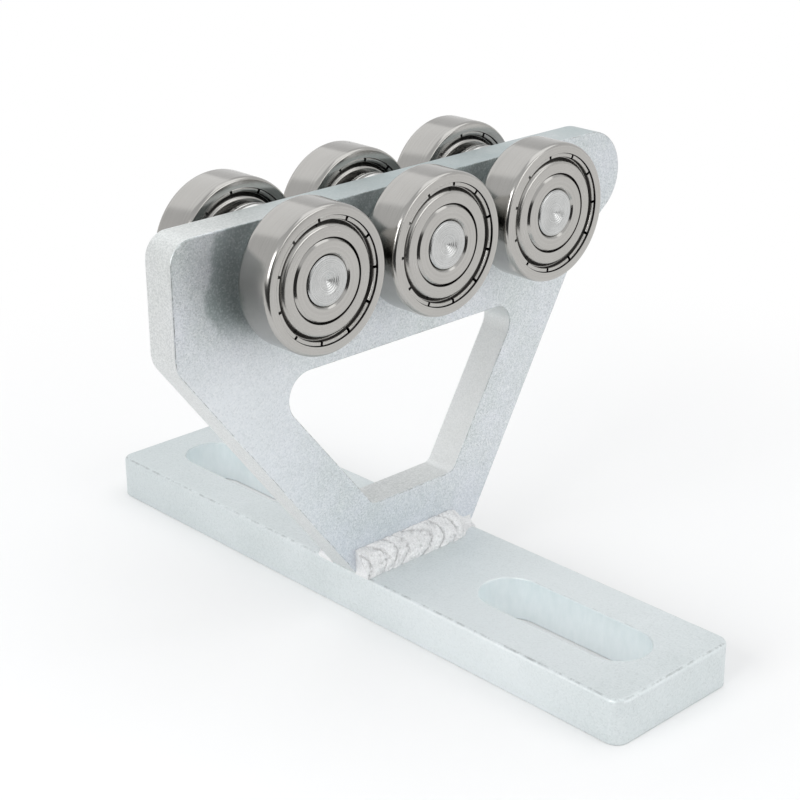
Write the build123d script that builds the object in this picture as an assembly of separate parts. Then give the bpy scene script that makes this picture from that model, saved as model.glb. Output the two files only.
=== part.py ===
from build123d import *
import math
import os

# Six-roller trolley for a suspended rail. Lengths are millimetres and angles are degrees.
# The origin is the centre of the base plate's underside. +X runs along the base plate,
# +Y runs along the rail towards the upright's rounded nose, and +Z is up.

# Base plate: flat bar with two long bolt slots
BASE_LENGTH = 160.0
BASE_WIDTH = 35.0
BASE_THICKNESS = 10.0
BASE_CORNER_RADIUS = 3.0
BASE_TOP_EDGE_RADIUS = 0.9
BASE_UNDER_EDGE_RADIUS = 0.3
SLOT_LENGTH = 43.0
SLOT_WIDTH = 14.0
SLOT_END_MARGIN = 8.3
SLOT_RIM_RADIUS = 0.3

# Upright plate: profile-cut plate across the base
UPRIGHT_OFFSET = 2.4
UPRIGHT_THICKNESS = 8.0
UPRIGHT_HEIGHT = 84.0
UPRIGHT_EDGE_RADIUS = 0.3
HEEL_OVERHANG = 26.6
HEEL_FACE_HEIGHT = 25.5
HEEL_TOP_RADIUS = 5.0
HEEL_BEND_RADIUS = 6.0
NOSE_OVERHANG = 36.5
NOSE_RADIUS = 10.0
NOSE_UNDERSIDE_ANGLE = 38.0
NOSE_UNDERSIDE_LENGTH = 11.5
NECK_BEND_RADIUS = 4.0

# Window in the upright
WINDOW_FLOOR_HEIGHT = 14.8
TOP_RAIL_DEPTH = 33.9
HEEL_LEG_WIDTH = 16.6
NECK_LEG_WIDTH = 14.4
HEEL_LEG_FLARE = 1.5
NECK_LEG_FLARE = 0.5
WINDOW_HEEL_RADIUS = 5.5
WINDOW_NECK_RADIUS = 4.5
WINDOW_FLOOR_RADIUS = 2.5

# Axles
AXLE_DROP = 10.3
ROLLER_GAP = 2.0
MIDDLE_AXLE_Y = -3.6
AXLE_CHAMFER = 0.3
CENTRE_HOLE_DIAMETER = 3.4
CENTRE_HOLE_DEPTH = 1.5

# Ball bearings: 10 mm bore, 30 mm outside, 9 mm wide
BEARING_BORE = 10.0
BEARING_DIAMETER = 30.0
BEARING_WIDTH = 9.0
RING_EDGE_RADIUS = 0.7
BORE_CHAMFER = 0.55
INNER_SHOULDER_CHAMFER = 0.5
BALL_COUNT = 8
RACE_CONFORMITY = 0.52
BALL_CLEARANCE = 0.02

# Radial sizes of a bearing, as shares of the depth from its bore to its outside
INNER_RING_SHARE = 0.34
OUTER_RING_SHARE = 0.30
BALL_SHARE = 0.4762
SEAT_SHARE = 0.215
SHIELD_BORE_SHARE = 0.395
SHIELD_FLAT_SHARE = 0.595

# Ribbon cage
CAGE_THICKNESS = 0.4
CAGE_BAND = 1.5
CAGE_POCKET_CLEARANCE = 0.08
RIVET_DIAMETER = 0.9
RIVET_HEAD_DIAMETER = 1.5
RIVET_HEAD_HEIGHT = 0.35

# Shields
SEAT_DEPTH = 1.15
SHIELD_THICKNESS = 0.3
SHIELD_SET_BACK = 0.2
SHIELD_CAGE_CLEARANCE = 0.04
CRIMP_WIDTH = 0.8
CRIMP_SET_BACK = 0.3
CRIMP_COUNT = 11
CRIMP_NOTCH_WIDTH = 0.5
SHIELD_FIT = 0.02

# Spacers between the upright and the inner rings
SPACER_LENGTH = 4.5
SPACER_FLANGE_DIAMETER = 21.0
SPACER_FLANGE_WIDTH = 2.5
SPACER_NOSE_DIAMETER = 13.4
SPACER_GROOVE_WIDTH = 0.3
SPACER_GROOVE_DEPTH = 0.35
SPACER_CHAMFER = 0.3

# Fillet welds
WELD_FOOT_LEG = 3.7
WELD_WALL_LEG = 5.4
WELD_ROUND_RADIUS = 6.0
WELD_RIPPLE_PITCH = 3.3
WELD_RIPPLE_SWING = 0.25
WELD_SWING_TURN = 137.5
WELD_END_RIPPLES = 2
WELD_END_SHRINK = 0.45

# Fits
PRESS_CLEARANCE = 0.01

SLOT_SPACING = BASE_LENGTH - SLOT_LENGTH - 2 * SLOT_END_MARGIN
TOP_Z = BASE_THICKNESS + UPRIGHT_HEIGHT
AXLE_Z = TOP_Z - AXLE_DROP
AXLE_PITCH = BEARING_DIAMETER + ROLLER_GAP
AXLE_YS = {
    "rear": MIDDLE_AXLE_Y - AXLE_PITCH,
    "middle": MIDDLE_AXLE_Y,
    "front": MIDDLE_AXLE_Y + AXLE_PITCH,
}
SHIELD_TURNS = {"rear": 0.0, "middle": 180 / CRIMP_COUNT, "front": 0.0}
SIDES = {"left": -1, "right": 1}
BEARING_INNER_FACE = UPRIGHT_THICKNESS / 2 + SPACER_LENGTH
BEARING_CENTRE = BEARING_INNER_FACE + BEARING_WIDTH / 2
AXLE_HALF_LENGTH = BEARING_INNER_FACE + BEARING_WIDTH
BORE_RADIUS = BEARING_BORE / 2
RIM_RADIUS = BEARING_DIAMETER / 2
SECTION = RIM_RADIUS - BORE_RADIUS
INNER_SHOULDER_RADIUS = BORE_RADIUS + INNER_RING_SHARE * SECTION
OUTER_SHOULDER_RADIUS = RIM_RADIUS - OUTER_RING_SHARE * SECTION
SEAT_RADIUS = RIM_RADIUS - SEAT_SHARE * SECTION
SHIELD_BORE_RADIUS = BORE_RADIUS + SHIELD_BORE_SHARE * SECTION
SHIELD_FLAT_RADIUS = BORE_RADIUS + SHIELD_FLAT_SHARE * SECTION
PITCH_RADIUS = (BORE_RADIUS + RIM_RADIUS) / 2
BALL_RADIUS = BALL_SHARE * SECTION / 2
RACE_RADIUS = 2 * RACE_CONFORMITY * BALL_RADIUS
CAGE_HALF_WIDTH = BALL_RADIUS + CAGE_POCKET_CLEARANCE + CAGE_THICKNESS
RADIUS_TOLERANCE = 1e-6


def line_angle(low, high):
    """Angle in degrees between the horizontal and a leg's edge, whichever way it leans."""
    return math.degrees(math.atan2(high[1] - low[1], abs(high[0] - low[0])))


def run_for(angle, rise):
    """Horizontal run of an edge at angle above horizontal over a rise."""
    return rise / math.tan(math.radians(angle))


def ring_about_x(profile_points):
    """Solid of revolution about X from (axial, radial) points."""
    with BuildPart() as ring:
        with BuildSketch(Plane.XY):
            with BuildLine():
                Polyline(*profile_points, close=True)
            make_face()
        revolve(axis=Axis.X)
    return ring.part


def base_plate():
    """Flat bar with rounded corners, worn top edges, crisp lower edges and two long slots."""
    with BuildPart() as plate:
        with BuildSketch():
            RectangleRounded(BASE_LENGTH, BASE_WIDTH, BASE_CORNER_RADIUS)
        extrude(amount=BASE_THICKNESS)
        fillet(plate.faces().sort_by(Axis.Z)[-1].edges(), BASE_TOP_EDGE_RADIUS)
        fillet(plate.faces().sort_by(Axis.Z)[0].edges(), BASE_UNDER_EDGE_RADIUS)
        with BuildSketch():
            with Locations((-SLOT_SPACING / 2, 0), (SLOT_SPACING / 2, 0)):
                SlotOverall(SLOT_LENGTH, SLOT_WIDTH)
        extrude(amount=BASE_THICKNESS, mode=Mode.SUBTRACT)
        rims = [
            edge
            for face in (plate.faces().sort_by(Axis.Z)[0], plate.faces().sort_by(Axis.Z)[-1])
            for wire in face.inner_wires()
            for edge in wire.edges()
        ]
        fillet(rims, SLOT_RIM_RADIUS)
    return plate.part


def upright_corners():
    """Corners of the upright's outline in (Y, Z), before they are rounded."""
    heel_y = AXLE_YS["rear"] - HEEL_OVERHANG
    nose_centre = (AXLE_YS["front"] + NOSE_OVERHANG - NOSE_RADIUS, TOP_Z - NOSE_RADIUS)
    leave = math.radians(90 - NOSE_UNDERSIDE_ANGLE)
    nose_end = (
        nose_centre[0] + NOSE_RADIUS * math.cos(leave),
        nose_centre[1] - NOSE_RADIUS * math.sin(leave),
    )
    underside = math.radians(NOSE_UNDERSIDE_ANGLE)
    neck_bend = (
        nose_end[0] - NOSE_UNDERSIDE_LENGTH * math.cos(underside),
        nose_end[1] - NOSE_UNDERSIDE_LENGTH * math.sin(underside),
    )
    return {
        "heel_foot": (-BASE_WIDTH / 2, BASE_THICKNESS),
        "heel_bend": (heel_y, TOP_Z - HEEL_FACE_HEIGHT),
        "heel_top": (heel_y, TOP_Z),
        "nose_start": (nose_centre[0], TOP_Z),
        "nose_tip": (nose_centre[0] + NOSE_RADIUS, nose_centre[1]),
        "nose_end": nose_end,
        "neck_bend": neck_bend,
        "neck_foot": (BASE_WIDTH / 2, BASE_THICKNESS),
    }


def upright_outline():
    """Outline of the upright in (Y, Z): foot, slanted heel, flat top, round nose and neck."""
    at = upright_corners()
    straight = ("nose_start", "heel_top", "heel_bend", "heel_foot", "neck_foot", "neck_bend", "nose_end")
    with BuildSketch() as outline:
        with BuildLine():
            Polyline(*[at[name] for name in straight])
            ThreePointArc(at["nose_start"], at["nose_tip"], at["nose_end"])
        make_face()
        fillet(corner_at(outline.vertices(), at["heel_top"]), HEEL_TOP_RADIUS)
        fillet(corner_at(outline.vertices(), at["heel_bend"]), HEEL_BEND_RADIUS)
        fillet(corner_at(outline.vertices(), at["neck_bend"]), NECK_BEND_RADIUS)
    return outline.sketch


def corner_at(vertices, point):
    """The vertex nearest to a point in the sketch's plane."""
    return vertices.sort_by_distance(Vector(*point))[0]


def window_outline():
    """Four-sided window: floor, two slanted sides that follow the legs, and a flat top."""
    at = upright_corners()
    heel_angle = line_angle(at["heel_foot"], at["heel_bend"])
    neck_angle = line_angle(at["neck_foot"], at["neck_bend"])
    floor = BASE_THICKNESS + WINDOW_FLOOR_HEIGHT
    top = TOP_Z - TOP_RAIL_DEPTH
    heel_edge = at["heel_foot"][0] - run_for(heel_angle, WINDOW_FLOOR_HEIGHT)
    neck_edge = at["neck_foot"][0] + run_for(neck_angle, WINDOW_FLOOR_HEIGHT)
    floor_heel = (heel_edge + HEEL_LEG_WIDTH, floor)
    floor_neck = (neck_edge - NECK_LEG_WIDTH, floor)
    top_heel = (floor_heel[0] - run_for(heel_angle - HEEL_LEG_FLARE, top - floor), top)
    top_neck = (floor_neck[0] + run_for(neck_angle - NECK_LEG_FLARE, top - floor), top)
    with BuildSketch() as window:
        with BuildLine():
            Polyline(floor_heel, floor_neck, top_neck, top_heel, close=True)
        make_face()
        fillet(corner_at(window.vertices(), top_heel), WINDOW_HEEL_RADIUS)
        fillet(corner_at(window.vertices(), top_neck), WINDOW_NECK_RADIUS)
        fillet(corner_at(window.vertices(), floor_heel), WINDOW_FLOOR_RADIUS)
        fillet(corner_at(window.vertices(), floor_neck), WINDOW_FLOOR_RADIUS)
    return window.sketch


def upright_plate():
    """Profile-cut plate with its window, three axle holes and softened cut edges."""
    across = Plane.YZ.offset(UPRIGHT_OFFSET)
    foot_clear = BASE_THICKNESS + UPRIGHT_EDGE_RADIUS
    with BuildPart() as plate:
        with BuildSketch(across):
            add(upright_outline())
            add(window_outline(), mode=Mode.SUBTRACT)
        extrude(amount=UPRIGHT_THICKNESS / 2, both=True)
        faces = plate.faces().filter_by(Axis.X)
        rims = [
            edge
            for face in faces
            for edge in face.edges()
            if edge.center().Z > foot_clear
        ]
        fillet(rims, UPRIGHT_EDGE_RADIUS)
        with BuildSketch(across):
            with Locations(*[(y, AXLE_Z) for y in AXLE_YS.values()]):
                Circle(BORE_RADIUS)
        extrude(amount=UPRIGHT_THICKNESS / 2, both=True, mode=Mode.SUBTRACT)
    return plate.part


def weld_bead(side):
    """Fillet weld along one face of the upright: overlapping round ripples that die away at the nose end."""
    chord = math.hypot(WELD_FOOT_LEG, WELD_WALL_LEG)
    sink = math.sqrt(WELD_ROUND_RADIUS**2 - (chord / 2) ** 2)
    centre_out = WELD_FOOT_LEG / 2 - sink * WELD_WALL_LEG / chord
    centre_up = WELD_WALL_LEG / 2 - sink * WELD_FOOT_LEG / chord
    face_x = UPRIGHT_OFFSET + side * UPRIGHT_THICKNESS / 2
    count = round(BASE_WIDTH / WELD_RIPPLE_PITCH)
    pitch = BASE_WIDTH / count
    slices = []
    for index in range(count):
        swing = WELD_RIPPLE_SWING * math.sin(math.radians(WELD_SWING_TURN * (index + side)))
        into_end = max(0, index - (count - 1 - WELD_END_RIPPLES)) / WELD_END_RIPPLES
        size = 1 - WELD_END_SHRINK * into_end
        along = -BASE_WIDTH / 2 + (index + 0.5) * pitch
        centre = Pos(face_x + side * size * centre_out, along, BASE_THICKNESS + size * centre_up)
        # The ball's poles lie along the weld and its seam points down into the base plate.
        ball = centre * Rot(90, 0, 0) * Rot(0, 0, -90) * Sphere(size * (WELD_ROUND_RADIUS + swing))
        room = Pos(face_x, along, BASE_THICKNESS) * Box(
            WELD_ROUND_RADIUS,
            pitch,
            2 * WELD_ROUND_RADIUS,
            align=(Align.MIN if side > 0 else Align.MAX, Align.CENTER, Align.MIN),
        )
        slices.append(ball & room)
    return slices[0] + slices[1:]


def axle():
    """Turned pin, chamfered and centre-drilled at both ends."""
    radius = BORE_RADIUS - PRESS_CLEARANCE
    half = AXLE_HALF_LENGTH
    hole = CENTRE_HOLE_DIAMETER / 2
    return ring_about_x(
        [
            (-half + CENTRE_HOLE_DEPTH, 0),
            (-half, hole),
            (-half, radius - AXLE_CHAMFER),
            (-half + AXLE_CHAMFER, radius),
            (half - AXLE_CHAMFER, radius),
            (half, radius - AXLE_CHAMFER),
            (half, hole),
            (half - CENTRE_HOLE_DEPTH, 0),
        ]
    )


def spacer():
    """Turned collar. Its flange stands on the upright and its nose holds the inner ring off."""
    bore = BORE_RADIUS
    flange = SPACER_FLANGE_DIAMETER / 2
    nose = SPACER_NOSE_DIAMETER / 2
    groove_start = (SPACER_FLANGE_WIDTH - SPACER_GROOVE_WIDTH) / 2
    groove_end = groove_start + SPACER_GROOVE_WIDTH
    groove_floor = flange - SPACER_GROOVE_DEPTH
    return ring_about_x(
        [
            (0, bore),
            (0, flange - SPACER_CHAMFER),
            (SPACER_CHAMFER, flange),
            (groove_start, flange),
            ((groove_start + groove_end) / 2, groove_floor),
            (groove_end, flange),
            (SPACER_FLANGE_WIDTH - SPACER_CHAMFER, flange),
            (SPACER_FLANGE_WIDTH, flange - SPACER_CHAMFER),
            (SPACER_FLANGE_WIDTH, nose),
            (SPACER_LENGTH, nose),
            (SPACER_LENGTH, bore),
        ]
    )


def raceway(groove_centre):
    """What is cut away for the balls: a ring about X with a round section."""
    with BuildPart() as groove:
        with BuildSketch(Plane.XY):
            with Locations((0, groove_centre)):
                Circle(RACE_RADIUS)
        revolve(axis=Axis.X)
    return groove.part


def outer_ring():
    """Outer ring: rounded rim edges, a ball track and a recess for a shield in each face."""
    half = BEARING_WIDTH / 2
    step = half - SEAT_DEPTH
    blank = ring_about_x(
        [
            (-half, SEAT_RADIUS),
            (-half, RIM_RADIUS),
            (half, RIM_RADIUS),
            (half, SEAT_RADIUS),
            (step, SEAT_RADIUS),
            (step, OUTER_SHOULDER_RADIUS),
            (-step, OUTER_SHOULDER_RADIUS),
            (-step, SEAT_RADIUS),
        ]
    )
    rim_edges = [
        edge
        for edge in blank.edges().filter_by(GeomType.CIRCLE)
        if abs(edge.radius - RIM_RADIUS) < RADIUS_TOLERANCE
    ]
    blank = fillet(rim_edges, RING_EDGE_RADIUS)
    return blank - raceway(PITCH_RADIUS + BALL_RADIUS + BALL_CLEARANCE - RACE_RADIUS)


def inner_ring():
    """Inner ring: chamfered bore and shoulders, with a ball track between them."""
    half = BEARING_WIDTH / 2
    bore = BORE_RADIUS
    shoulder = INNER_SHOULDER_RADIUS
    blank = ring_about_x(
        [
            (-half + BORE_CHAMFER, bore),
            (-half, bore + BORE_CHAMFER),
            (-half, shoulder - INNER_SHOULDER_CHAMFER),
            (-half + INNER_SHOULDER_CHAMFER, shoulder),
            (half - INNER_SHOULDER_CHAMFER, shoulder),
            (half, shoulder - INNER_SHOULDER_CHAMFER),
            (half, bore + BORE_CHAMFER),
            (half - BORE_CHAMFER, bore),
        ]
    )
    return blank - raceway(PITCH_RADIUS - BALL_RADIUS - BALL_CLEARANCE + RACE_RADIUS)


def ball_places(turn):
    """Places evenly spread on the pitch circle, turned about X by turn degrees."""
    return [
        Rot(360 / BALL_COUNT * index + turn, 0, 0) * Pos(0, PITCH_RADIUS, 0)
        for index in range(BALL_COUNT)
    ]


def balls():
    """The bearing's balls, as separate solids on the pitch circle."""
    return [place * Sphere(BALL_RADIUS) for place in ball_places(0)]


def cage():
    """Ribbon cage: a riveted band that bulges round each ball."""
    pocket = BALL_RADIUS + CAGE_POCKET_CLEARANCE
    shell = CAGE_HALF_WIDTH
    low = PITCH_RADIUS - CAGE_BAND / 2
    high = PITCH_RADIUS + CAGE_BAND / 2
    band = ring_about_x(
        [(-CAGE_THICKNESS, low), (CAGE_THICKNESS, low), (CAGE_THICKNESS, high), (-CAGE_THICKNESS, high)]
    )
    envelope = ring_about_x([(-shell, low), (shell, low), (shell, high), (-shell, high)])
    bulges = [place * Sphere(shell) for place in ball_places(0)]
    pockets = [place * Sphere(pocket) for place in ball_places(0)]
    ribbon = ((band + bulges) & envelope) - pockets
    head_end = CAGE_THICKNESS + RIVET_HEAD_HEIGHT
    rivet = Rot(0, 90, 0) * (
        Cylinder(RIVET_DIAMETER / 2, 2 * CAGE_THICKNESS)
        + Pos(0, 0, CAGE_THICKNESS + RIVET_HEAD_HEIGHT / 2) * Cylinder(RIVET_HEAD_DIAMETER / 2, RIVET_HEAD_HEIGHT)
        + Pos(0, 0, -CAGE_THICKNESS - RIVET_HEAD_HEIGHT / 2) * Cylinder(RIVET_HEAD_DIAMETER / 2, RIVET_HEAD_HEIGHT)
    )
    rivets = [place * rivet for place in ball_places(180 / BALL_COUNT)]
    return ribbon + rivets


def shield():
    """Pressed shield for the +X face: flat annulus, trough and a crimped, notched rim."""
    face = BEARING_WIDTH / 2
    thick = SHIELD_THICKNESS
    bore = SHIELD_BORE_RADIUS
    flat_edge = SHIELD_FLAT_RADIUS
    rim = SEAT_RADIUS - SHIELD_FIT
    crimp_inner = rim - CRIMP_WIDTH
    neck = OUTER_SHOULDER_RADIUS - SHIELD_FIT
    flat_top = face - SHIELD_SET_BACK
    trough = CAGE_HALF_WIDTH + SHIELD_CAGE_CLEARANCE + thick
    crimp_top = face - CRIMP_SET_BACK
    seat_floor = face - SEAT_DEPTH + SHIELD_FIT
    lip = 2 * thick
    profile = [
        (flat_top - lip, bore),
        (flat_top - thick / 2, bore),
        (flat_top, bore + thick / 2),
        (flat_top, flat_edge - thick / 2),
        (flat_top - thick / 2, flat_edge),
        (trough, flat_edge + thick),
        (trough, neck - thick),
        (crimp_top - thick, crimp_inner),
        (crimp_top, crimp_inner + thick),
        (crimp_top - thick / 2, rim),
        (seat_floor, rim),
        (seat_floor, neck),
        (trough - thick / 2, neck),
        (trough - thick, neck - thick / 2),
        (trough - thick, flat_edge),
        (flat_top - thick, flat_edge - thick),
        (flat_top - thick, bore + thick),
        (flat_top - lip, bore + thick),
    ]
    disc = ring_about_x(profile)
    notch_depth = crimp_top - seat_floor - thick
    notch = Pos(crimp_top - notch_depth / 2, (crimp_inner + rim) / 2, 0) * Box(
        notch_depth, CRIMP_WIDTH + thick, CRIMP_NOTCH_WIDTH
    )
    for index in range(CRIMP_COUNT):
        disc -= Rot(360 / CRIMP_COUNT * index, 0, 0) * notch
    return disc


def write(name, shape):
    """Write one sub-part's STEP file."""
    export_step(shape, f"parts/{name}.step")


def main():
    """Build every sub-part once and write it where it belongs."""
    os.makedirs("parts", exist_ok=True)
    write("base_plate", base_plate())
    write("upright_plate", upright_plate())
    write("weld_bead_right", weld_bead(1))
    write("weld_bead_left", weld_bead(-1))

    rings = {"outer_ring": outer_ring(), "inner_ring": inner_ring(), "cage": cage()}
    ball_set = balls()
    shield_out = shield()
    shield_in = Rot(0, 180, 0) * shield_out
    axle_pin = axle()
    collar = spacer()

    for axle_name, y in AXLE_YS.items():
        at_axle = Pos(UPRIGHT_OFFSET, y, AXLE_Z)
        write(f"{axle_name}_axle", at_axle * axle_pin)
        for side_name, side in SIDES.items():
            facing = at_axle * Rot(0, 0, 0 if side > 0 else 180)
            at_bearing = facing * Pos(BEARING_CENTRE, 0, 0)
            prefix = f"{axle_name}_{side_name}"
            write(f"{prefix}_spacer", facing * Pos(UPRIGHT_THICKNESS / 2, 0, 0) * collar)
            for ring_name, ring in rings.items():
                write(f"{prefix}_{ring_name}", at_bearing * ring)
            write(f"{prefix}_balls", Compound([at_bearing * ball for ball in ball_set]))
            turned = at_bearing * Rot(SHIELD_TURNS[axle_name], 0, 0)
            write(f"{prefix}_shield_outer", turned * shield_out)
            write(f"{prefix}_shield_inner", turned * shield_in)


main()
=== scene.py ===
# %% [markdown]
# # A six-roller rail trolley
# The trolley is a flat bar with two long slots, an upright plate welded across it, and three axles
# with a shielded ball bearing on each end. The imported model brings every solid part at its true
# size and place, so this lesson is about finishes, about the weld and the fine turned and pressed
# details that a drawing leaves plain, and about the light.

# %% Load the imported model
import math

import bmesh
import bpy
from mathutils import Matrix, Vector


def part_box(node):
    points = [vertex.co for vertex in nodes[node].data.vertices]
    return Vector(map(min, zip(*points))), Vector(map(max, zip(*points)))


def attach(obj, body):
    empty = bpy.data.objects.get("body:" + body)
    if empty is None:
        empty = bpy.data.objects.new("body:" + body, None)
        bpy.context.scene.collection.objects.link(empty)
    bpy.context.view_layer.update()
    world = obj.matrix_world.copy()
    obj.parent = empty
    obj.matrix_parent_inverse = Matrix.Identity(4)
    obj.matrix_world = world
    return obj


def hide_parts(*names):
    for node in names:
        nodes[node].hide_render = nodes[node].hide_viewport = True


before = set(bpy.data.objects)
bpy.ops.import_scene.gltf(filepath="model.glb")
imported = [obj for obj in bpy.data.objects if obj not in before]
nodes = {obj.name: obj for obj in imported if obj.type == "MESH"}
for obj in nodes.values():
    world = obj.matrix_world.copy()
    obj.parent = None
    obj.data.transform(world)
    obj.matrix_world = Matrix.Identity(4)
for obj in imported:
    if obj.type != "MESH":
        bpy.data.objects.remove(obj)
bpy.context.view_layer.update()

# %% Sizes that the finishes and the extra pieces share
MM = 0.001
AXLE_NAMES = ("rear", "middle", "front")
SIDE_SIGNS = {"left": -1.0, "right": 1.0}


def middle_of(node):
    """Centre of a node's box, as a vector in metres."""
    low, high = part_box(node)
    return Vector([(low[axis] + high[axis]) / 2 for axis in range(3)])


axle_centres = {name: middle_of(f"{name}_axle") for name in AXLE_NAMES}
base_low, base_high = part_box("base_plate")
upright_low, upright_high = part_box("upright_plate")
base_top = base_high[2]
print("axle centres in mm", {name: [round(v / MM, 2) for v in place] for name, place in axle_centres.items()})

# %% [markdown]
# ## Camera
# The picture was taken from the right, a little above, and fairly close, so the far end of the base
# looks smaller than the near one. It could be placed by eye in the viewport. Here it is set by the
# direction in which it looks back from a point on the object, its distance, and the slight roll with
# which it was held, so that the picture comes out the same each time.

# %% Place the camera
LOOK_AT = Vector((-0.807, 2.547, 42.436)) * MM
CAMERA_DISTANCE = 400.762 * MM
CAMERA_AZIMUTH = math.radians(46.468)
CAMERA_ELEVATION = math.radians(22.360)
CAMERA_ROLL = math.radians(-0.267)
CAMERA_LENS = 82.704

back = Vector((
    math.sin(CAMERA_AZIMUTH) * math.cos(CAMERA_ELEVATION),
    -math.cos(CAMERA_AZIMUTH) * math.cos(CAMERA_ELEVATION),
    math.sin(CAMERA_ELEVATION),
))
camera_data = bpy.data.cameras.new("camera")
camera_data.lens = CAMERA_LENS
camera_data.sensor_width = 36.0
camera_data.clip_start = 0.01
camera = bpy.data.objects.new("camera", camera_data)
bpy.context.scene.collection.objects.link(camera)
camera.location = LOOK_AT + back * CAMERA_DISTANCE
turn = back.to_track_quat("Z", "Y").to_matrix()
right = turn.col[0] * math.cos(CAMERA_ROLL) + turn.col[1] * math.sin(CAMERA_ROLL)
up = turn.col[1] * math.cos(CAMERA_ROLL) - turn.col[0] * math.sin(CAMERA_ROLL)
turn.col[0] = right
turn.col[1] = up
camera.rotation_euler = turn.to_euler()
bpy.context.scene.camera = camera
print("camera stands at", [round(v / MM, 1) for v in camera.location], "mm")

# %% [markdown]
# ## Node trees written as code
# The light of the room, every finish and the skin of the welds are trees of nodes. They can be drawn by
# hand in a node editor, or built by a script, which can be read from top to bottom and repeated for the
# next piece. A few short helpers add a node, fill its sockets and hand back its output, so that each
# tree below reads like a recipe.

# %% Helpers for node trees
def new_material(name):
    """A material with a Principled shader, and its tree."""
    material = bpy.data.materials.new(name)
    material.use_nodes = True
    shader = material.node_tree.nodes["Principled BSDF"]
    return material, material.node_tree, shader


def add_node(tree, kind, **settings):
    """A new node of one kind, with its plain settings."""
    node = tree.nodes.new(kind)
    for key, value in settings.items():
        setattr(node, key, value)
    return node


def set_socket(tree, socket, value):
    """Links another node's output to a socket, or writes a plain value into it."""
    if isinstance(value, bpy.types.NodeSocket):
        tree.links.new(value, socket)
    else:
        socket.default_value = value


def feed(tree, node, **values):
    """Sets a node's sockets by name and returns the node."""
    for key, value in values.items():
        set_socket(tree, node.inputs[key.replace("_", " ")], value)
    return node


def fed_node(tree, kind, **values):
    """A new node of one kind, with its sockets set by name."""
    return feed(tree, add_node(tree, kind), **values)


def in_order(tree, node, *values):
    """Sets a node's first sockets in their order and returns its first output."""
    for socket, value in zip(node.inputs, values):
        set_socket(tree, socket, value)
    return node.outputs[0]


print(
    "helpers", [helper.__name__ for helper in (new_material, add_node, set_socket, feed, fed_node, in_order)]
)


# %% Helpers for sums, colours and ranges
def calculate(tree, operation, *values):
    """The output of a Math node."""
    return in_order(tree, add_node(tree, "ShaderNodeMath", operation=operation), *values)


def product(tree, *factors):
    """The output of several factors multiplied together."""
    result = factors[0]
    for factor in factors[1:]:
        result = calculate(tree, "MULTIPLY", result, factor)
    return result


def span(tree, first, second):
    """The distance between the ends of two lengths at a right angle."""
    squares = calculate(tree, "ADD", product(tree, first, first), product(tree, second, second))
    return calculate(tree, "SQRT", squares)


def colour_between(tree, share, first, second):
    """The output of a colour mix between two colours or sockets."""
    node = add_node(tree, "ShaderNodeMix", data_type="RGBA")
    for index, value in ((0, share), (6, first), (7, second)):
        set_socket(tree, node.inputs[index], value)
    return node.outputs[2]


def spread(tree, value, low, high, to_low, to_high):
    """Maps a varying value from one range to another and keeps it inside."""
    node = fed_node(
        tree, "ShaderNodeMapRange", Value=value, From_Min=low, From_Max=high, To_Min=to_low, To_Max=to_high
    )
    return node.outputs["Result"]


def spread_mm(tree, value, low, high, to_low, to_high):
    """The same for a length, with its range in millimetres."""
    return spread(tree, value, low * MM, high * MM, to_low, to_high)


print(
    "helpers", [helper.__name__ for helper in (calculate, product, span, colour_between, spread, spread_mm)]
)


# %% Helpers for places, noise and groups
def own_place(tree):
    """The place of a point in the piece's own space."""
    return add_node(tree, "ShaderNodeTexCoord").outputs["Object"]


def parts_of(tree, vector):
    """The three parts of a vector."""
    return fed_node(tree, "ShaderNodeSeparateXYZ", Vector=vector).outputs


def noise(tree, place, scale, detail, roughness=0.5):
    """The value of a noise texture at a place."""
    node = fed_node(
        tree, "ShaderNodeTexNoise", Vector=place, Scale=scale, Detail=detail, Roughness=roughness
    )
    return node.outputs["Fac"]


def new_group(name, inputs, outputs):
    """A group of shader nodes with number inputs (name, value). Returns it, what it is given, its end."""
    group = bpy.data.node_groups.new(name, "ShaderNodeTree")
    for socket_name, value in inputs:
        socket = group.interface.new_socket(socket_name, in_out="INPUT", socket_type="NodeSocketFloat")
        socket.default_value = value
    for socket_name in outputs:
        group.interface.new_socket(socket_name, in_out="OUTPUT", socket_type="NodeSocketFloat")
    return group, group.nodes.new("NodeGroupInput").outputs, group.nodes.new("NodeGroupOutput")


def place_group(tree, group, **values):
    """Places a shader group in a tree with its own values."""
    return feed(tree, add_node(tree, "ShaderNodeGroup", node_tree=group), **values)


print("helpers", [helper.__name__ for helper in (own_place, parts_of, noise, new_group, place_group)])

# %% [markdown]
# ## Floor, backdrop and light
# The trolley stands on white paper that the camera sees as pure white, with only a soft grey shadow
# close to the base. A large plane gives the shadow. Polished rings mirror what is around them: a white
# room, the near end of the paper, and the dark shape of the camera and what stands behind it. The last
# two draw the dark streaks on the left of every ring. An image of a studio could light the scene, but a
# few nodes in the world are enough, and every part of them can be moved.

# %% The room, brighter above and dark below the horizon
ROOM_STRENGTH = 0.85
HORIZON = -0.02

scene = bpy.context.scene
scene.view_settings.view_transform = "Standard"
world = bpy.data.worlds.new("studio")
scene.world = world
world.use_nodes = True
tree = world.node_tree
tree.nodes.clear()
where = add_node(tree, "ShaderNodeTexCoord").outputs
direction = parts_of(tree, where["Generated"])
rise = spread(tree, direction["Z"], 0.1, 0.9, 0.0, 1.0)
room = colour_between(tree, rise, (1.0, 1.0, 1.0, 1.0), (0.86, 0.87, 0.88, 1.0))
# Rounded edges mirror the dark beyond the paper's near end.
above_horizon = calculate(tree, "GREATER_THAN", direction["Z"], HORIZON)
half_room = colour_between(tree, above_horizon, (0.05, 0.05, 0.05, 1.0), room)
print("room strength", ROOM_STRENGTH, "dark below", HORIZON)

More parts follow.
